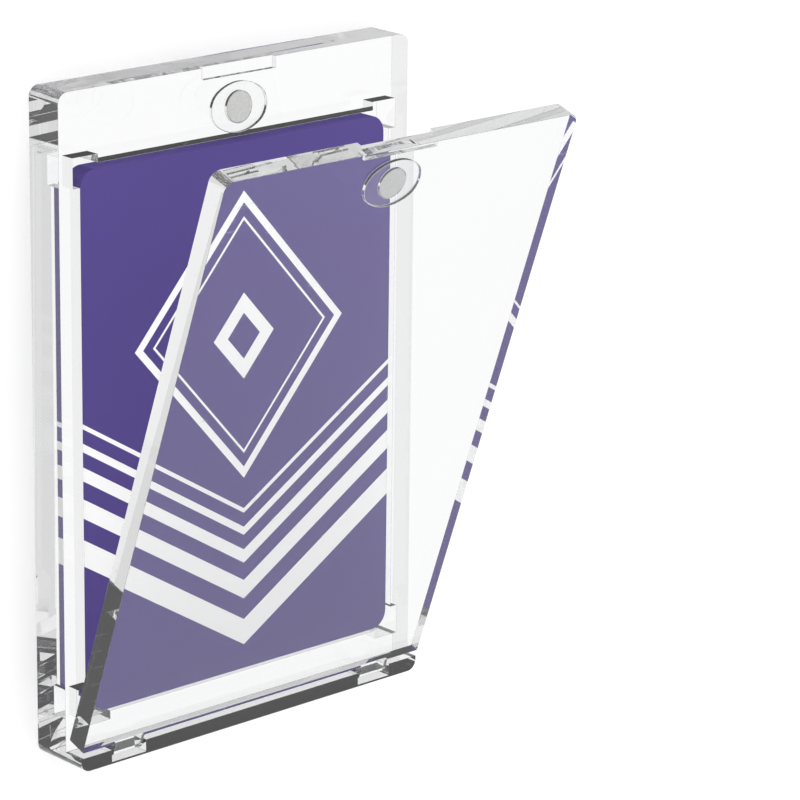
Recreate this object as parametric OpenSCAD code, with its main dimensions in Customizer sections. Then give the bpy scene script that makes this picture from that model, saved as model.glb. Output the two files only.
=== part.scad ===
// Two-piece clear display case for one thick card.
// The case lies on its back: X runs across it, Y runs from the hinge lip to the top edge,
// and Z points out of the front. The front cover is drawn open, as it stands at rest.

/* [Card] */
// Width of the insert card
card_w = 63; // [50:0.5:80]
// Height of the insert card
card_h = 88; // [60:0.1:120]
// Thickness of the insert card
card_t = 3.9; // [2:0.01:8]
// Corner radius of the insert card
card_r = 3; // [1:0.1:6]

/* [Card clearances] */
// Gap between the card and each side wall of its pocket
card_side_gap = 0.5; // [0.1:0.05:1]
// Gap between the card and the lower end wall, on which it rests when the case stands up
card_foot_gap = 0.1; // [0.1:0.05:1]
// Gap between the card and the upper end wall
card_head_gap = 1.1; // [0.1:0.05:2]
// Gap between the card and the pocket floor
card_back_gap = 0.05; // [0.05:0.05:0.5]
// How far the card's face lies below the parting face
card_front_gap = 0.62; // [0.1:0.01:2]

/* [Rear shell] */
// Thickness of the wall behind the card
floor_t = 2.75; // [1:0.05:5]
// Width of the rim on each side of the pocket
side_rim = 4.1; // [3:0.1:12]
// Height of the rim above the pocket
top_rim = 11.9; // [10.5:0.1:25]
// Height of the rim below the pocket
low_rim = 8.8; // [5:0.1:20]
// Radius of the outer corners, seen from the front
corner_r = 1.8; // [0.5:0.1:4]
// Side length of the square relief cut in each pocket corner
relief_size = 4.9; // [2:0.1:8]
// How far each relief reaches past the pocket walls
relief_out = 1.4; // [0.3:0.1:1.9]

/* [Hinge lip] */
// Height of the lip along the bottom edge
lip_h = 2.4; // [2:0.1:6]
// How far the lip stands out past the closed cover's front face
lip_over = 0.35; // [0:0.05:3]
// Thickness of the web left under each hinge slot
slot_web = 0.35; // [0.2:0.05:0.5]
// Thickness of the wall left behind each hinge slot
slot_back = 0.3; // [0:0.05:1]

/* [Front cover] */
// Thickness of the cover
cover_t = 3.6; // [3:0.1:8]
// Gap between the closed cover and the parting face
cover_gap = 0.05; // [0.02:0.01:0.5]
// Gap between the closed cover's foot and the lip
foot_gap = 1.4; // [1:0.05:2]
// Radius of the cover's two lower corners
foot_r = 0.3; // [0.1:0.1:1]
// Angle between the cover and the rear shell at rest
open_deg = 19.5; // [0:0.5:90]

/* [Hinge tongues] */
// Width of each tongue on the cover's foot
tongue_w = 5.8; // [3:0.1:12]
// Thickness of each tongue
tongue_t = 1.2; // [0.8:0.1:1.4]
// Gap on each side of a tongue in its slot
tongue_side_gap = 0.6; // [0.2:0.05:1.5]
// Gap under a tongue in its slot
tongue_floor_gap = 0.75; // [0.4:0.05:0.9]
// Distance from the case's side to the middle of the nearer tongue
tongue_inset = 9.7; // [8:0.1:20]

/* [Magnets] */
// Diameter of each magnet
magnet_d = 5.2; // [3:0.1:6]
// Thickness of each magnet
magnet_t = 1; // [0.5:0.1:2.5]
// Radial gap between a magnet and its plug
magnet_gap = 0.03; // [0.01:0.01:0.1]
// Distance from the top edge to the magnet's centre
magnet_drop = 7.2; // [6:0.1:10]
// Width of the oval plug round each magnet
plug_w = 11.4; // [10:0.1:16]
// Height of the oval plug round each magnet
plug_h = 8.2; // [7:0.1:9]
// Radius of the oval plug's two ends
plug_end_r = 3.4; // [2.5:0.1:3.5]
// Gap between a plug and its seat
plug_gap = 0.05; // [0.02:0.01:0.2]

/* [Thumb notches] */
// Width of the thumb notch in each top edge
notch_w = 15; // [8:0.5:24]
// Height of each thumb notch
notch_h = 1.9; // [1:0.1:2.5]
// Depth of each thumb notch
notch_d = 0.9; // [0.3:0.1:1.6]

/* [Hidden] */
$fn = 64;

clear_colour = [0.9, 0.92, 0.94, 0.4];
plug_colour = [0.82, 0.84, 0.86, 0.6];
card_colour = [0.4, 0.34, 0.6];
magnet_colour = [0.8, 0.8, 0.8];

// Overlap that lets a cut pass the face it opens
eps = 0.01;

pocket_w = card_w + 2 * card_side_gap;
pocket_h = card_h + card_foot_gap + card_head_gap;
pocket_d = card_t + card_back_gap + card_front_gap;

shell_w = pocket_w + 2 * side_rim;
shell_h = low_rim + pocket_h + top_rim;
shell_t = floor_t + pocket_d;
pocket_y = low_rim + pocket_h / 2;

// The lip covers the closed cover's foot from below
lip_d = cover_gap + cover_t + lip_over;

cover_back = shell_t + cover_gap;
cover_front = cover_back + cover_t;
cover_foot = lip_h + foot_gap;
cover_h = shell_h - cover_foot;

// The hinge axis runs through the round ends of both tongues
tongue_r = tongue_t / 2;
pivot_y = slot_web + tongue_floor_gap + tongue_r;
pivot_z = cover_front - tongue_r;
tongue_x = shell_w / 2 - tongue_inset;
slot_w = tongue_w + 2 * tongue_side_gap;

magnet_y = shell_h - magnet_drop;

// Puts a piece built from the bottom edge into the case's own frame
module in_frame() {
    translate([0, -shell_h / 2, 0])
        children();
}

// Swings a piece of the closed cover out to its place at rest
module opened() {
    translate([0, pivot_y, pivot_z])
        rotate([open_deg, 0, 0])
            translate([0, -pivot_y, -pivot_z])
                children();
}

// Outline from y = 0 upwards, with one radius for the top corners and one for the lower ones
module plate_outline(w, h, top_r, low_r) {
    translate([-w / 2 + top_r, 0])
        square([w - 2 * top_r, h]);
    translate([-w / 2, low_r])
        square([w, h - top_r - low_r]);
    translate([-w / 2 + low_r, 0])
        square([w - 2 * low_r, h / 2]);
    for (side = [-1, 1]) {
        translate([side * (w / 2 - top_r), h - top_r])
            circle(r = top_r);
        translate([side * (w / 2 - low_r), low_r])
            circle(r = low_r);
    }
}

// Oval of four tangent arcs: two ends of radius end_r and two flatter sides
module oval(w, h, end_r) {
    end_x = w / 2 - end_r;
    side_r = (end_x * end_x + h * h / 4 - end_r * end_r) / (h - 2 * end_r);
    drop = side_r - h / 2;
    tangent_x = end_x * side_r / (side_r - end_r);
    for (side = [-1, 1])
        translate([side * end_x, 0])
            circle(r = end_r);
    intersection() {
        translate([0, -drop])
            circle(r = side_r, $fn = 128);
        translate([0, drop])
            circle(r = side_r, $fn = 128);
        translate([-tangent_x, -h / 2])
            square([2 * tangent_x, h]);
    }
}

// Square relief in each corner of the pocket, so a sharp card corner isn't pressed
module pocket_reliefs() {
    reach = relief_size / 2 - relief_out;
    for (sx = [-1, 1])
        for (sy = [-1, 1])
            translate([
                sx * (pocket_w / 2 - reach) - relief_size / 2,
                pocket_y + sy * (pocket_h / 2 - reach) - relief_size / 2,
                floor_t
            ])
                cube([relief_size, relief_size, pocket_d + eps]);
}

// Oval seat, grown by the plug's gap, from z = from upwards
module plug_seat(from) {
    translate([0, magnet_y, from])
        linear_extrude(magnet_t + eps)
            oval(plug_w + 2 * plug_gap, plug_h + 2 * plug_gap, plug_end_r + plug_gap);
}

module plug(from) {
    translate([0, magnet_y, from])
        difference() {
            linear_extrude(magnet_t)
                oval(plug_w, plug_h, plug_end_r);
            translate([0, 0, -eps])
                cylinder(r = magnet_d / 2 + magnet_gap, h = magnet_t + 2 * eps);
        }
}

module magnet(from) {
    translate([0, magnet_y, from])
        cylinder(d = magnet_d, h = magnet_t);
}

module thumb_notch(from) {
    translate([-notch_w / 2, shell_h - notch_h, from])
        cube([notch_w, notch_h + eps, notch_d + eps]);
}

module tongue() {
    translate([-tongue_w / 2, pivot_y, pivot_z - tongue_r])
        cube([tongue_w, cover_foot - pivot_y + foot_r, tongue_t]);
    translate([-tongue_w / 2, pivot_y, pivot_z])
        rotate([0, 90, 0])
            cylinder(r = tongue_r, h = tongue_w);
}

module rear_shell() {
    color(clear_colour)
        in_frame()
            difference() {
                union() {
                    linear_extrude(shell_t)
                        plate_outline(shell_w, shell_h, corner_r, corner_r);
                    linear_extrude(shell_t + lip_d)
                        intersection() {
                            plate_outline(shell_w, shell_h, corner_r, corner_r);
                            translate([-shell_w / 2, 0])
                                square([shell_w, lip_h]);
                        }
                }
                translate([-pocket_w / 2, low_rim, floor_t])
                    cube([pocket_w, pocket_h, pocket_d + eps]);
                pocket_reliefs();
                plug_seat(shell_t - magnet_t);
                thumb_notch(shell_t - notch_d);
                for (side = [-1, 1])
                    translate([side * tongue_x - slot_w / 2, slot_web, shell_t + slot_back])
                        cube([slot_w, lip_h, lip_d]);
            }
}

module front_cover() {
    color(clear_colour)
        in_frame()
            opened()
                difference() {
                    union() {
                        translate([0, cover_foot, cover_back])
                            linear_extrude(cover_t)
                                plate_outline(shell_w, cover_h, corner_r, foot_r);
                        for (side = [-1, 1])
                            translate([side * tongue_x, 0, 0])
                                tongue();
                    }
                    translate([0, 0, -eps])
                        plug_seat(cover_back);
                    translate([0, 0, -eps])
                        thumb_notch(cover_back);
                }
}

module insert_card() {
    color(card_colour)
        in_frame()
            translate([0, low_rim + card_foot_gap, floor_t + card_back_gap])
                linear_extrude(card_t)
                    plate_outline(card_w, card_h, card_r, card_r);
}

module rear_magnet_plug() {
    color(plug_colour)
        in_frame()
            plug(shell_t - magnet_t);
}

module front_magnet_plug() {
    color(plug_colour)
        in_frame()
            opened()
                plug(cover_back);
}

module rear_magnet() {
    color(magnet_colour)
        in_frame()
            magnet(shell_t - magnet_t);
}

module front_magnet() {
    color(magnet_colour)
        in_frame()
            opened()
                magnet(cover_back);
}

rear_shell();
front_cover();
insert_card();
rear_magnet_plug();
front_magnet_plug();
rear_magnet();
front_magnet();
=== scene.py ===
"""Looks for the trading card display case: clear acrylic shell and cover, plugs, magnets and printed card.

The clear pieces bend light as acrylic does. Seen straight through they show a white studio, and their inner
walls mirror its light and its dark side, which gives the case its pale and its dark edges."""

import bmesh
import bpy
import numpy as np
from mathutils import Matrix, Vector


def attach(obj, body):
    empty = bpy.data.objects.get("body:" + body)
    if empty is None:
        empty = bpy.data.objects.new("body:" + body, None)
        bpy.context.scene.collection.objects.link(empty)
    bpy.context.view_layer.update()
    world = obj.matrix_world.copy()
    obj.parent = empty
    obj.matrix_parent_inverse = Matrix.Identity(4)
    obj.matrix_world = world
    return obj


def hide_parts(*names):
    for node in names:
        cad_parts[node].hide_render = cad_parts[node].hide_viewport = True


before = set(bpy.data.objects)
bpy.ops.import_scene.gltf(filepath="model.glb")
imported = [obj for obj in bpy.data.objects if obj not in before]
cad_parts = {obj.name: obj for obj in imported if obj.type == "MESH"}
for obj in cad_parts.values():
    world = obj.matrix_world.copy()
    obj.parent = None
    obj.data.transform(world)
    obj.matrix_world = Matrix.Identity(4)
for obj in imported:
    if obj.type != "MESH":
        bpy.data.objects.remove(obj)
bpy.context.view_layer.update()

MM = 0.001
# How far the cover stands open at rest
OPEN_ANGLE = np.radians(19.5)
# Film of air left between a plug or magnet and the bottom of its seat
AIR_FILM = 0.02 * MM
PLUG_HOLE_GAP = 0.03 * MM
PLUG_END_RADIUS = 3.4 * MM
CARD_CORNER = 3.0 * MM

# Radius of the small round along the edges of each piece
CASE_EDGE = 0.05 * MM
PLUG_EDGE = 0.08 * MM
MAGNET_EDGE = 0.18 * MM
CARD_EDGE = 0.15 * MM

# In the meshes, points nearer than these are taken as one: in an outline, and in a CAD solid's mesh
OUTLINE_STEP = 0.001 * MM
WELD_DISTANCE = 0.002 * MM
# Angles between neighbouring faces, in radians: below the first they become one flat face, below the second
# they are shaded as one surface, and above the third their edge is rounded
FLAT_ANGLE = 0.01
SMOOTH_ANGLE = 0.5
ROUNDED_ANGLE = 0.6

ACRYLIC_IOR = 1.49
CASE_TINT = (0.985, 0.99, 0.995, 1)
PLUG_TINT = (0.97, 0.975, 0.98, 1)
VIOLET = (0.0867, 0.0602, 0.2427)
PRINT_WHITE = (0.945, 0.945, 0.945)
# Nickel of the two magnets, which are one material: the rear one is painted darker, as painted shade, and the
# front one lighter, as painted light
NICKEL_REAR_PAINTED_SHADE = (0.72, 0.72, 0.71)
NICKEL_FRONT_PAINTED_LIGHT = (0.92, 0.92, 0.91)

# How much lighter the ink is painted on the card's top side, as painted light in place of the light kept out
# by the shade of the narrow gap it lies in, and how far below the card's top that painted light starts
TOP_SIDE_PAINTED_LIGHT = 1.45
PAINTED_LIGHT_DEPTH = 0.1 * CARD_EDGE

# Print on the card, in millimetres: half width, half height and height of the middle of the rhombus,
# and its outlines as shares of that size
RHOMBUS = (21.0, 24.0, 13.0)
RHOMBUS_LINES = ((0.92, 1.0), (0.80, 0.825), (0.16, 0.30))
# Lower and upper edge of each chevron at the card's middle, and the rise of its arms
CHEVRONS = ((-17.0, -16.2), (-20.8, -19.4), (-25.6, -23.3), (-31.8, -28.6), (-39.8, -35.4))
CHEVRON_RISE = 0.62

# Brightness of the studio. Matt surfaces are lit evenly. Outer faces and metal mirror a pale room,
# and light mirrored inside the acrylic meets a bright table, a paler front and a dark far side.
MATT_LIGHT = 0.96
OUTER_LIGHT_SIDE = 0.85
OUTER_DARK_SIDE = 0.60
INNER_TABLE = 0.88
INNER_FRONT = 0.73
INNER_DARK_SIDE = 0.05
# The light and dark sides meet over this much to either side of the middle, and the table's light turns
# into the front's between these two heights of the mirrored direction
SIDE_FADE = 0.05
TABLE_HEIGHT = -0.3
FRONT_HEIGHT = 0.2

# Softboxes: name, place and power in watts
SOFTBOX_SIZE = 0.6
SOFTBOXES = (("key_softbox", (-0.45, 0.75, 0.9), 6.0), ("fill_softbox", (0.7, -0.5, 0.9), 2.0))

# Floor: half its side, how far it lies below the case, its white, and the light added to that white
FLOOR_HALF = 4.0
FLOOR_DROP = 0.05 * MM
FLOOR_WHITE = 0.88
FLOOR_LIFT = 0.05

# Light is followed this many times through and along the clear pieces
MOST_BOUNCES = 128
MOST_PASSES = 64
MOST_STRAIGHT_PASSES = 32

# Camera, from fitting the case's edges in the photograph
CAMERA_PLACE = (-0.395749, 0.186987, 0.476105)
CAMERA_RIGHT = Vector((0.738691, 0.012926, 0.673920))
CAMERA_UP = Vector((0.187925, 0.956223, -0.224327))
CAMERA_LENS = 178.3


# ------------------------------------------------------------------ nodes
class Tree:
    """A node tree with short calls for its nodes."""

    def __init__(self, tree):
        self.tree = tree

    def node(self, kind, **inputs):
        """One node; inputs are set by name, with _ for a space, from a socket or a plain value."""
        made = self.tree.nodes.new(kind)
        for name, value in inputs.items():
            self.put(made.inputs[name.replace("_", " ")], value)
        return made

    def put(self, socket, value):
        """Links an output to the socket, or sets the socket to a plain value."""
        if isinstance(value, bpy.types.NodeSocket):
            self.tree.links.new(value, socket)
        else:
            socket.default_value = value

    def math(self, operation, *values):
        """Output of a Math node."""
        made = self.tree.nodes.new("ShaderNodeMath")
        made.operation = operation
        for socket, value in zip(made.inputs, values):
            self.put(socket, value)
        return made.outputs[0]

    def add(self, a, b):
        return self.math("ADD", a, b)

    def times(self, a, b):
        return self.math("MULTIPLY", a, b)

    def larger(self, *values):
        """The largest of some values."""
        top = values[0]
        for value in values[1:]:
            top = self.math("MAXIMUM", top, value)
        return top

    def between(self, value, low, high):
        """1 where value lies between low and high, 0 elsewhere."""
        return self.times(
            self.math("GREATER_THAN", value, low), self.math("LESS_THAN", value, high)
        )

    def fade(self, value, low, high, start=0.0, end=1.0):
        """Runs smoothly from start to end as value goes from low to high."""
        made = self.node(
            "ShaderNodeMapRange", Value=value, From_Min=low, From_Max=high, To_Min=start, To_Max=end
        )
        made.interpolation_type = "SMOOTHSTEP"
        return made.outputs[0]

    def either(self, choice, yes, no):
        """yes where choice is 1, and no where it is 0."""
        return self.add(self.times(choice, yes), self.times(self.math("SUBTRACT", 1.0, choice), no))

    def blend(self, share, a, b):
        """Colour a, turning to b by share.

        A Mix node has sockets for every kind of value: 6 and 7 take its colours, and 2 gives their mix."""
        made = self.tree.nodes.new("ShaderNodeMix")
        made.data_type = "RGBA"
        self.put(made.inputs[0], share)
        self.put(made.inputs[6], a)
        self.put(made.inputs[7], b)
        return made.outputs[2]

    def place(self, scale=(1, 1, 1)):
        """Object coordinates times scale."""
        where = self.node("ShaderNodeTexCoord").outputs["Object"]
        return self.node("ShaderNodeMapping", Vector=where, Scale=scale).outputs[0]

    def noise(self, where, scale, detail=2.0, roughness=0.5):
        """Noise value round 0.5; scale is in features per metre."""
        return self.node(
            "ShaderNodeTexNoise", Vector=where, Scale=scale, Detail=detail, Roughness=roughness
        ).outputs["Fac"]

    def mix_shaders(self, share, a, b):
        """Shader a, turning to b by share."""
        made = self.tree.nodes.new("ShaderNodeMixShader")
        for socket, value in zip(made.inputs, (share, a, b)):
            self.put(socket, value)
        return made.outputs[0]


def material(name):
    """A new node material, as a Tree with its output node."""
    made = bpy.data.materials.new(name)
    made.use_nodes = True
    made.node_tree.nodes.clear()
    tree = Tree(made.node_tree)
    return made, tree, tree.node("ShaderNodeOutputMaterial").inputs["Surface"]


def effect(name, inputs, outputs):
    """An empty node group with float inputs and given outputs: its Tree, input node and output node."""
    made = bpy.data.node_groups.new(name, "ShaderNodeTree")
    for label, value in inputs.items():
        socket = made.interface.new_socket(label, in_out="INPUT", socket_type="NodeSocketFloat")
        socket.default_value = value
    for label, kind in outputs.items():
        made.interface.new_socket(label, in_out="OUTPUT", socket_type="NodeSocket" + kind)
    tree = Tree(made)
    return made, tree, tree.node("NodeGroupInput"), tree.node("NodeGroupOutput")


def use(tree, group, **inputs):
    """A node that places a group in a material, with its own values."""
    made = tree.tree.nodes.new("ShaderNodeGroup")
    made.node_tree = group
    for name, value in inputs.items():
        tree.put(made.inputs[name.replace("_", " ")], value)
    return made


# ------------------------------------------------------------------ shared effects
# Each set of hairlines: how the noise is drawn out along x, y and z, its turn about z, and patches per metre
MARK_SETS = (((900, 34, 120), 0.5, 240), ((30, 700, 90), -0.35, 160), ((260, 60, 800), 1.2, 300))
# A hairline's half width in noise value, the noise value from which a patch keeps its hairlines, at first
# faintly and then in full, and waves per metre
LINE_WIDTH = 0.004
PATCH_START = 0.62
PATCH_FULL = 0.72
WAVES = 38.0
# How rough a hairline is, and patches of the faint tint per metre
LINE_ROUGHNESS = 0.16
TINT_PATCHES = 60.0


def make_handling_marks():
    """Hairline scratches and slow waviness, for polished faces.

    A hairline shows where noise drawn out along one direction crosses its middle value, and a patchy mask
    keeps a few of them. Three sets run in three directions."""
    group, t, put_in, out = effect(
        "handling_marks", {"Amount": 1.0, "Waviness": 1.0}, {"Lines": "Float", "Height": "Float"}
    )
    where = t.node("ShaderNodeTexCoord").outputs["Object"]
    lines = 0.0
    for stretch, turn, patches in MARK_SETS:
        drawn_out = t.node("ShaderNodeMapping", Vector=where, Rotation=(0, 0, turn), Scale=stretch).outputs[0]
        off_middle = t.math("ABSOLUTE", t.math("SUBTRACT", t.noise(drawn_out, 1.0, 1.0), 0.5))
        line = t.fade(off_middle, 0.0, LINE_WIDTH, 1.0, 0.0)
        patch = t.fade(t.noise(where, patches, 0.0), PATCH_START, PATCH_FULL)
        lines = t.larger(lines, t.times(line, patch))
    t.put(out.inputs["Lines"], t.times(lines, put_in.outputs["Amount"]))
    t.put(out.inputs["Height"], t.times(t.noise(where, WAVES, 1.0), put_in.outputs["Waviness"]))
    return group


def make_fine_grain():
    """Fine even speckle, for paper and for plating: noise, with a third of a 3.7 times finer noise in it."""
    group, t, put_in, out = effect("fine_grain", {"Size": 3000.0, "Contrast": 1.0}, {"Speckle": "Float"})
    where = t.place()
    coarse = t.noise(where, put_in.outputs["Size"], 3.0, 0.6)
    small = t.noise(where, t.times(put_in.outputs["Size"], 3.7), 1.0)
    mixed = t.math("SUBTRACT", t.add(t.times(coarse, 0.65), t.times(small, 0.35)), 0.5)
    t.put(out.inputs["Speckle"], t.add(t.times(mixed, put_in.outputs["Contrast"]), 0.5))
    return group


# ------------------------------------------------------------------ materials
def shade(colour, level):
    """The colour made lighter or darker by level, as a socket value."""
    return tuple(min(1.0, level * part) for part in colour) + (1.0,)


def clear_acrylic(name, tint, lamp_share, marks, amount):
    """Polished clear acrylic. It bends what is seen through it, and lamps shine through it nearly undimmed.

    lamp_share is the share of a lamp's light that each surface lets through, and amount says how plainly the
    hairlines show."""
    made, t, surface = material(name)
    seen = use(t, marks, Amount=amount, Waviness=1.0)
    rough = t.times(seen.outputs["Lines"], LINE_ROUGHNESS)
    bump = t.node("ShaderNodeBump", Strength=0.02, Distance=0.2 * MM, Height=seen.outputs["Height"])
    glass = t.node(
        "ShaderNodeBsdfPrincipled",
        Base_Color=t.blend(t.noise(t.place(), TINT_PATCHES), tint, (1, 1, 1, 1)),
        Roughness=rough,
        IOR=ACRYLIC_IOR,
        Transmission_Weight=1.0,
        Normal=bump.outputs[0],
    )
    lets_lamps_in = t.node("ShaderNodeBsdfTransparent", Color=(lamp_share, lamp_share, lamp_share, 1))
    shadow = t.node("ShaderNodeLightPath").outputs["Is Shadow Ray"]
    t.put(surface, t.mix_shaders(shadow, glass.outputs[0], lets_lamps_in.outputs[0]))
    return made


def card_layout(t):
    """Mask of the white print: nested rhombus outlines above a stack of broadening chevrons.

    x runs across the card from its middle line, to both sides alike, and y up it from its middle. Along a
    rhombus |x| / width + |y - middle| / height is constant, and along a chevron y - rise * |x| is."""
    low, high = solid_box("insert_card")
    where = t.node("ShaderNodeSeparateXYZ", Vector=t.place((1 / MM, 1 / MM, 1 / MM)))
    x = t.math("ABSOLUTE", where.outputs[0])
    y = t.math("SUBTRACT", where.outputs[1], (low[1] + high[1]) / 2 / MM)
    half_width, half_height, middle = RHOMBUS
    from_middle = t.math("ABSOLUTE", t.math("SUBTRACT", y, middle))
    rhombus = t.add(t.times(x, 1 / half_width), t.times(from_middle, 1 / half_height))
    chevron = t.math("SUBTRACT", y, t.times(x, CHEVRON_RISE))
    return t.larger(
        *[t.between(rhombus, inner, outer) for inner, outer in RHOMBUS_LINES],
        *[t.between(chevron, lower, upper) for lower, upper in CHEVRONS],
    )


def printed_card(name, grain):
    """Satin printed card: violet ink with white areas, and a faint speckle in both. The ink on its top side
    is painted lighter, as painted light.
    """
    made, t, surface = material(name)
    speckle = use(t, grain, Size=2600.0, Contrast=0.22).outputs["Speckle"]
    face_ink = t.blend(speckle, shade(VIOLET, 0.90), shade(VIOLET, 1.10))
    # Painted light: the ink on the card's top side is painted lighter than on its faces, in place of the
    # light that the narrow gap's shade keeps from it
    painted_light_ink = t.blend(speckle, shade(VIOLET, 0.90 * TOP_SIDE_PAINTED_LIGHT), shade(VIOLET, 1.10 * TOP_SIDE_PAINTED_LIGHT))
    painted_light_start = solid_box("insert_card")[1][1] - PAINTED_LIGHT_DEPTH
    height = t.node("ShaderNodeSeparateXYZ", Vector=t.place()).outputs[1]
    ink_with_painted_light = t.blend(t.math("GREATER_THAN", height, painted_light_start), face_ink, painted_light_ink)
    white = t.blend(speckle, shade(PRINT_WHITE, 0.97), shade(PRINT_WHITE, 1.03))
    colour = t.blend(card_layout(t), ink_with_painted_light, white)
    bump = t.node("ShaderNodeBump", Strength=0.12, Distance=0.04 * MM, Height=speckle)
    paper = t.node(
        "ShaderNodeBsdfPrincipled",
        Base_Color=colour,
        Roughness=t.fade(speckle, 0.3, 0.7, 0.42, 0.55),
        Specular_IOR_Level=0.2,
        Normal=bump.outputs[0],
    )
    t.put(surface, paper.outputs[0])
    return made


def nickel_plating(name, nickel_with_painted_light, grain):
    """Satin nickel: a mottled bright metal, whose given colour is painted lighter for the front magnet and
    darker for the rear one, as painted light and painted shade.
    """
    made, t, surface = material(name)
    mottle = use(t, grain, Size=1900.0, Contrast=2.0).outputs["Speckle"]
    colour = t.blend(mottle, shade(nickel_with_painted_light, 0.80), shade(nickel_with_painted_light, 1.12))
    bump = t.node("ShaderNodeBump", Strength=0.5, Distance=0.04 * MM, Height=mottle)
    metal = t.node(
        "ShaderNodeBsdfPrincipled",
        Base_Color=colour,
        Metallic=0.55,
        Roughness=t.fade(mottle, 0.2, 0.8, 0.34, 0.52),
        Normal=bump.outputs[0],
    )
    t.put(surface, metal.outputs[0])
    return made


# ------------------------------------------------------------------ shapes
def turned(tilt):
    """Matrix of a turn about X by tilt; its columns are the turned axes."""
    return np.array([[1, 0, 0], [0, np.cos(tilt), -np.sin(tilt)], [0, np.sin(tilt), np.cos(tilt)]])


def solid_box(node, tilt=0.0):
    """Least and greatest corner of a CAD solid, measured along axes turned about X by tilt."""
    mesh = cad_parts[node].data
    points = np.empty(3 * len(mesh.vertices))
    mesh.vertices.foreach_get("co", points)
    along = points.reshape(-1, 3) @ turned(tilt)
    return along.min(axis=0), along.max(axis=0)


def foot_middle(low, high):
    """Middle of the lower face of a box between two corners."""
    return np.array([(low[0] + high[0]) / 2, (low[1] + high[1]) / 2, low[2]])


def arc_outline(*arcs, steps=25):
    """Closed anticlockwise outline of arcs, with straight lines where two arcs don't meet.

    Each arc is (x, y, radius, from, to), with its angles in degrees. A point is the arc's centre plus radius
    times the outward direction (cos a, sin a), and that direction is kept as the outline's normal."""
    points, normals = [], []
    for x, y, radius, start, stop in arcs:
        angle = np.radians(np.linspace(start, stop, steps))
        outward = np.stack([np.cos(angle), np.sin(angle)], axis=1)
        points.append(np.array([x, y]) + radius * outward)
        normals.append(outward)
    points, normals = np.concatenate(points), np.concatenate(normals)
    apart = np.linalg.norm(points - np.roll(points, 1, axis=0), axis=1) > OUTLINE_STEP
    return points[apart], normals[apart]


def card_outline(width, height, corner):
    """Rectangle with four round corners."""
    x, y = width / 2 - corner, height / 2 - corner
    return arc_outline(
        (x, y, corner, 0, 90), (-x, y, corner, 90, 180), (-x, -y, corner, 180, 270), (x, -y, corner, 270, 360)
    )


def plug_outline(width, height, end):
    """Oval of four tangent arcs: two ends of radius end, and two flatter sides whose arcs touch them.

    The side's radius follows from the tangency: the distance between the two centres is the difference
    of the two radii."""
    end_x = width / 2 - end
    side = (end_x**2 + height**2 / 4 - end**2) / (height - 2 * end)
    drop = side - height / 2
    meet = np.degrees(np.arctan2(drop, end_x))
    return arc_outline(
        (end_x, 0, end, -meet, meet),
        (0, -drop, side, meet, 180 - meet),
        (-end_x, 0, end, 180 - meet, 180 + meet),
        (0, drop, side, 180 + meet, 360 - meet),
    )


def carried_up(outline, height, edge, steps=5):
    """The outline carried up a slab's side, whose lower and upper edges are quarter circles of radius edge.

    A ring leans by t, from -90 to 90 degrees. It lies edge * (1 - cos t) inside the outline and edge * sin t
    above its quarter circle's centre, and its normal is cos t times the outline's plus sin t upwards."""
    points, outward = outline
    lean = np.radians(np.concatenate([np.linspace(-90, 0, steps), np.linspace(0, 90, steps)]))
    base = np.repeat([edge, height - edge], steps)
    level = np.ones((len(lean), len(points), 1))
    rings = points - (edge * (1 - np.cos(lean)))[:, None, None] * outward
    height_of_ring = base + edge * np.sin(lean)
    grid = np.concatenate([rings, level * height_of_ring[:, None, None]], axis=2)
    normals = np.concatenate(
        [np.cos(lean)[:, None, None] * outward, level * np.sin(lean)[:, None, None]], axis=2
    )
    return grid, normals


def skin(name, grid, normals, hollow=False):
    """Mesh of rings of points. Quads join neighbours, and a flat face closes each end.

    A hollow piece has no ends: its last ring is joined to its first."""
    rings, around = grid.shape[:2]
    index = np.arange(rings * around).reshape(rings, around)
    if hollow:
        index = np.concatenate([index, index[:1]])
    beside = np.roll(index, -1, axis=1)
    quads = np.stack([index[:-1], beside[:-1], beside[1:], index[1:]], axis=-1).reshape(-1, 4).tolist()
    ends = [] if hollow else [index[0, ::-1].tolist(), index[-1].tolist()]
    mesh = bpy.data.meshes.new(name)
    mesh.from_pydata(grid.reshape(-1, 3).tolist(), [], quads + ends)
    mesh.polygons.foreach_set("use_smooth", np.ones(len(mesh.polygons), dtype=bool))
    mesh.normals_split_custom_set_from_vertices(normals.reshape(-1, 3).tolist())
    return mesh


# ------------------------------------------------------------------ pieces
def piece_of(mesh, finish, body, node):
    """An object for the mesh, with its finish. It rides on its body and stands for its CAD node."""
    piece = bpy.data.objects.new(mesh.name, mesh)
    bpy.context.scene.collection.objects.link(piece)
    mesh.materials.append(finish)
    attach(piece, body)
    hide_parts(node)
    return piece


def make_case_half(name, finish, body, node):
    """Shell or cover: its CAD solid with flat faces joined up, and a small round along every sharp edge."""
    bm = bmesh.new()
    bm.from_mesh(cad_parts[node].data)
    bmesh.ops.remove_doubles(bm, verts=bm.verts, dist=WELD_DISTANCE)
    bmesh.ops.dissolve_limit(bm, angle_limit=FLAT_ANGLE, verts=bm.verts, edges=bm.edges)
    for face in bm.faces:
        face.smooth = True
    for edge in bm.edges:
        edge.smooth = len(edge.link_faces) == 2 and edge.calc_face_angle() < SMOOTH_ANGLE
    mesh = bpy.data.meshes.new(name)
    bm.to_mesh(mesh)
    bm.free()
    half = piece_of(mesh, finish, body, node)
    rounding = half.modifiers.new("edge_rounding", "BEVEL")
    rounding.width = CASE_EDGE
    rounding.segments = 2
    rounding.limit_method = "ANGLE"
    rounding.angle_limit = ROUNDED_ANGLE
    rounding.harden_normals = True


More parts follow.
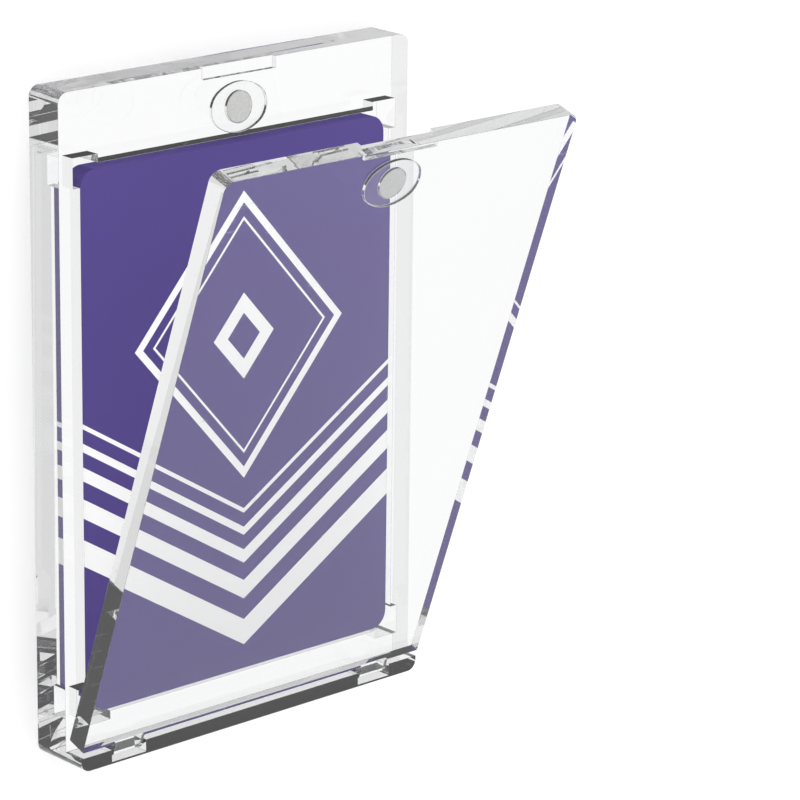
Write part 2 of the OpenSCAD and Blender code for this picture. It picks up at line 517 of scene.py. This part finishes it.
def make_magnet(name, finish, body, node, tilt, film):
    """Disc magnet: a circle carried up a side with round edges. film lifts it off the bottom of its seat."""
    low, high = solid_box(node, tilt) + film
    radius = (high[0] - low[0]) / 2
    outline = arc_outline((0, 0, radius, 0, 360), steps=97)
    grid, normals = carried_up(outline, high[2] - low[2], MAGNET_EDGE)
    grid = grid + foot_middle(low, high)
    mesh = skin(name, grid @ turned(tilt).T, normals @ turned(tilt).T)
    piece_of(mesh, finish, body, node)


def make_plug(name, finish, body, node, magnet_node, tilt, film):
    """Oval plug: its outline carried up the outside, and a circle round the magnet carried down the hole."""
    low, high = solid_box(node, tilt) + film
    magnet_low, magnet_high = solid_box(magnet_node, tilt)
    hole = (magnet_high[0] - magnet_low[0]) / 2 + PLUG_HOLE_GAP
    outline = plug_outline(high[0] - low[0], high[1] - low[1], PLUG_END_RADIUS)
    outside, outside_normals = carried_up(outline, high[2] - low[2], PLUG_EDGE)
    inside, inside_normals = carried_up((hole * outline[1], -outline[1]), high[2] - low[2], PLUG_EDGE)
    grid = np.concatenate([outside, inside[::-1]]) + foot_middle(low, high)
    normals = np.concatenate([outside_normals, inside_normals[::-1]])
    mesh = skin(name, grid @ turned(tilt).T, normals @ turned(tilt).T, hollow=True)
    piece_of(mesh, finish, body, node)


def make_card(name, finish):
    """Thick insert card: a rectangle with round corners carried up a side with soft edges."""
    low, high = solid_box("insert_card")
    outline = card_outline(high[0] - low[0], high[1] - low[1], CARD_CORNER)
    grid, normals = carried_up(outline, high[2] - low[2], CARD_EDGE)
    mesh = skin(name, grid + foot_middle(low, high), normals)
    piece_of(mesh, finish, "card", "insert_card")


marks = make_handling_marks()
grain = make_fine_grain()
case_acrylic = clear_acrylic("case_acrylic", CASE_TINT, 0.95, marks, 1.0)
plug_acrylic = clear_acrylic("plug_acrylic", PLUG_TINT, 0.92, marks, 0.6)

make_case_half("shell_clear", case_acrylic, "shell", "rear_shell")
make_case_half("cover_clear", case_acrylic, "cover", "front_cover")
# The rear seats open upwards, and the cover's seats downwards, so the film lies at their lower or upper end
rear_film = np.array([[0, 0, AIR_FILM], [0, 0, 0]])
front_film = np.array([[0, 0, 0], [0, 0, -AIR_FILM]])
# Each magnet gets its own nickel colour: painted shade for the rear magnet and painted light for the front
# one
for side, body, tilt, film, nickel_with_painted_light in (
    ("rear", "shell", 0.0, rear_film, NICKEL_REAR_PAINTED_SHADE),
    ("front", "cover", OPEN_ANGLE, front_film, NICKEL_FRONT_PAINTED_LIGHT),
):
    magnet_node = f"{side}_magnet"
    plug_node = f"{side}_magnet_plug"
    plating = nickel_plating(f"{side}_magnet_plating", nickel_with_painted_light, grain)
    make_magnet(f"{side}_magnet_seated", plating, body, magnet_node, tilt, film)
    make_plug(f"{side}_plug_seated", plug_acrylic, body, plug_node, magnet_node, tilt, film)
make_card("card_printed", printed_card("card_print", grain))


# ------------------------------------------------------------------ floor
def level_sheet(name, half, drop, count=5):
    """A level square sheet: x and y run from -half to half in count steps, and z is -drop everywhere."""
    steps = np.linspace(-half, half, count)
    x, y = np.meshgrid(steps, steps)
    points = np.stack([x, y, np.full_like(x, -drop)], axis=-1).reshape(-1, 3)
    index = np.arange(count * count).reshape(count, count)
    corners = (index[:-1, :-1], index[:-1, 1:], index[1:, 1:], index[1:, :-1])
    faces = np.stack(corners, axis=-1).reshape(-1, 4)
    mesh = bpy.data.meshes.new(name)
    mesh.from_pydata(points.tolist(), [], faces.tolist())
    sheet = bpy.data.objects.new(name, mesh)
    bpy.context.scene.collection.objects.link(sheet)
    return sheet


def pale_floor(name):
    """Matt white floor. Clear pieces and metal see past it to the studio, which is as white."""
    made, t, surface = material(name)
    path = t.node("ShaderNodeLightPath").outputs
    matt = t.node("ShaderNodeBsdfDiffuse", Color=(FLOOR_WHITE, FLOOR_WHITE, FLOOR_WHITE, 1))
    lift = t.node("ShaderNodeEmission", Strength=t.times(path["Is Camera Ray"], FLOOR_LIFT))
    both = t.node("ShaderNodeAddShader")
    t.put(both.inputs[0], matt.outputs[0])
    t.put(both.inputs[1], lift.outputs[0])
    gone = t.node("ShaderNodeBsdfTransparent")
    seen_past = t.larger(path["Is Glossy Ray"], path["Is Transmission Ray"])
    t.put(surface, t.mix_shaders(seen_past, both.outputs[0], gone.outputs[0]))
    return made


floor = level_sheet("floor", FLOOR_HALF, FLOOR_DROP)
floor.data.materials.append(pale_floor("pale_floor"))


# ------------------------------------------------------------------ studio
def studio_world():
    """Even soft light for matt surfaces, and a plain studio for what clear pieces and metal show.

    Straight through a clear piece the studio is white. Mirrored light meets its light side towards -Y and its
    dark side towards +Y, as beside a lit table in an unlit room."""
    world = bpy.data.worlds.new("studio")
    bpy.context.scene.world = world
    world.use_nodes = True
    world.node_tree.nodes.clear()
    world.cycles.sampling_method = "NONE"
    t = Tree(world.node_tree)
    path = t.node("ShaderNodeLightPath").outputs
    way = t.node("ShaderNodeSeparateXYZ", Vector=t.node("ShaderNodeTexCoord").outputs["Generated"]).outputs
    light_side = t.fade(way[1], -SIDE_FADE, SIDE_FADE, 1.0, 0.0)
    dark_side = t.math("SUBTRACT", 1.0, light_side)
    near_side = t.fade(way[2], TABLE_HEIGHT, FRONT_HEIGHT, INNER_TABLE, INNER_FRONT)
    in_acrylic = t.add(t.times(light_side, near_side), t.times(dark_side, INNER_DARK_SIDE))
    on_surface = t.add(t.times(light_side, OUTER_LIGHT_SIDE), t.times(dark_side, OUTER_DARK_SIDE))
    inside = t.math("GREATER_THAN", path["Transmission Depth"], 0.5)
    mirrored = t.math("GREATER_THAN", path["Glossy Depth"], 0.5)
    room = t.either(inside, in_acrylic, on_surface)
    matt = t.larger(path["Is Diffuse Ray"], t.math("GREATER_THAN", path["Diffuse Depth"], 0.5))
    level = t.either(matt, MATT_LIGHT, t.either(mirrored, room, 1.0))
    back = t.node("ShaderNodeBackground", Color=(1, 1, 1, 1), Strength=level)
    t.put(t.node("ShaderNodeOutputWorld").inputs["Surface"], back.outputs[0])


def softbox(name, place, power):
    """A square area lamp that faces the case and isn't seen in the clear pieces."""
    data = bpy.data.lights.new(name, "AREA")
    data.shape = "SQUARE"
    data.size = SOFTBOX_SIZE
    data.energy = power
    data.cycles.use_multiple_importance_sampling = False
    lamp = bpy.data.objects.new(name, data)
    bpy.context.scene.collection.objects.link(lamp)
    lamp.location = place
    lamp.rotation_euler = (-Vector(place)).to_track_quat("-Z", "Y").to_euler()
    lamp.visible_camera = lamp.visible_glossy = lamp.visible_transmission = False


studio_world()
for name, place, power in SOFTBOXES:
    softbox(name, place, power)


# ------------------------------------------------------------------ camera
def photo_camera():
    """Camera at the photograph's place and angle."""
    data = bpy.data.cameras.new("camera")
    data.sensor_width = 36
    data.lens = CAMERA_LENS
    data.clip_start = 0.01
    data.clip_end = 20
    camera = bpy.data.objects.new("camera", data)
    bpy.context.scene.collection.objects.link(camera)
    axes = Matrix((CAMERA_RIGHT, CAMERA_UP, CAMERA_RIGHT.cross(CAMERA_UP))).transposed().to_4x4()
    axes.translation = CAMERA_PLACE
    camera.matrix_world = axes
    bpy.context.scene.camera = camera


photo_camera()
scene = bpy.context.scene
scene.view_settings.view_transform = "Standard"
scene.cycles.max_bounces = MOST_BOUNCES
scene.cycles.glossy_bounces = MOST_BOUNCES
scene.cycles.transmission_bounces = MOST_PASSES
scene.cycles.transparent_max_bounces = MOST_STRAIGHT_PASSES
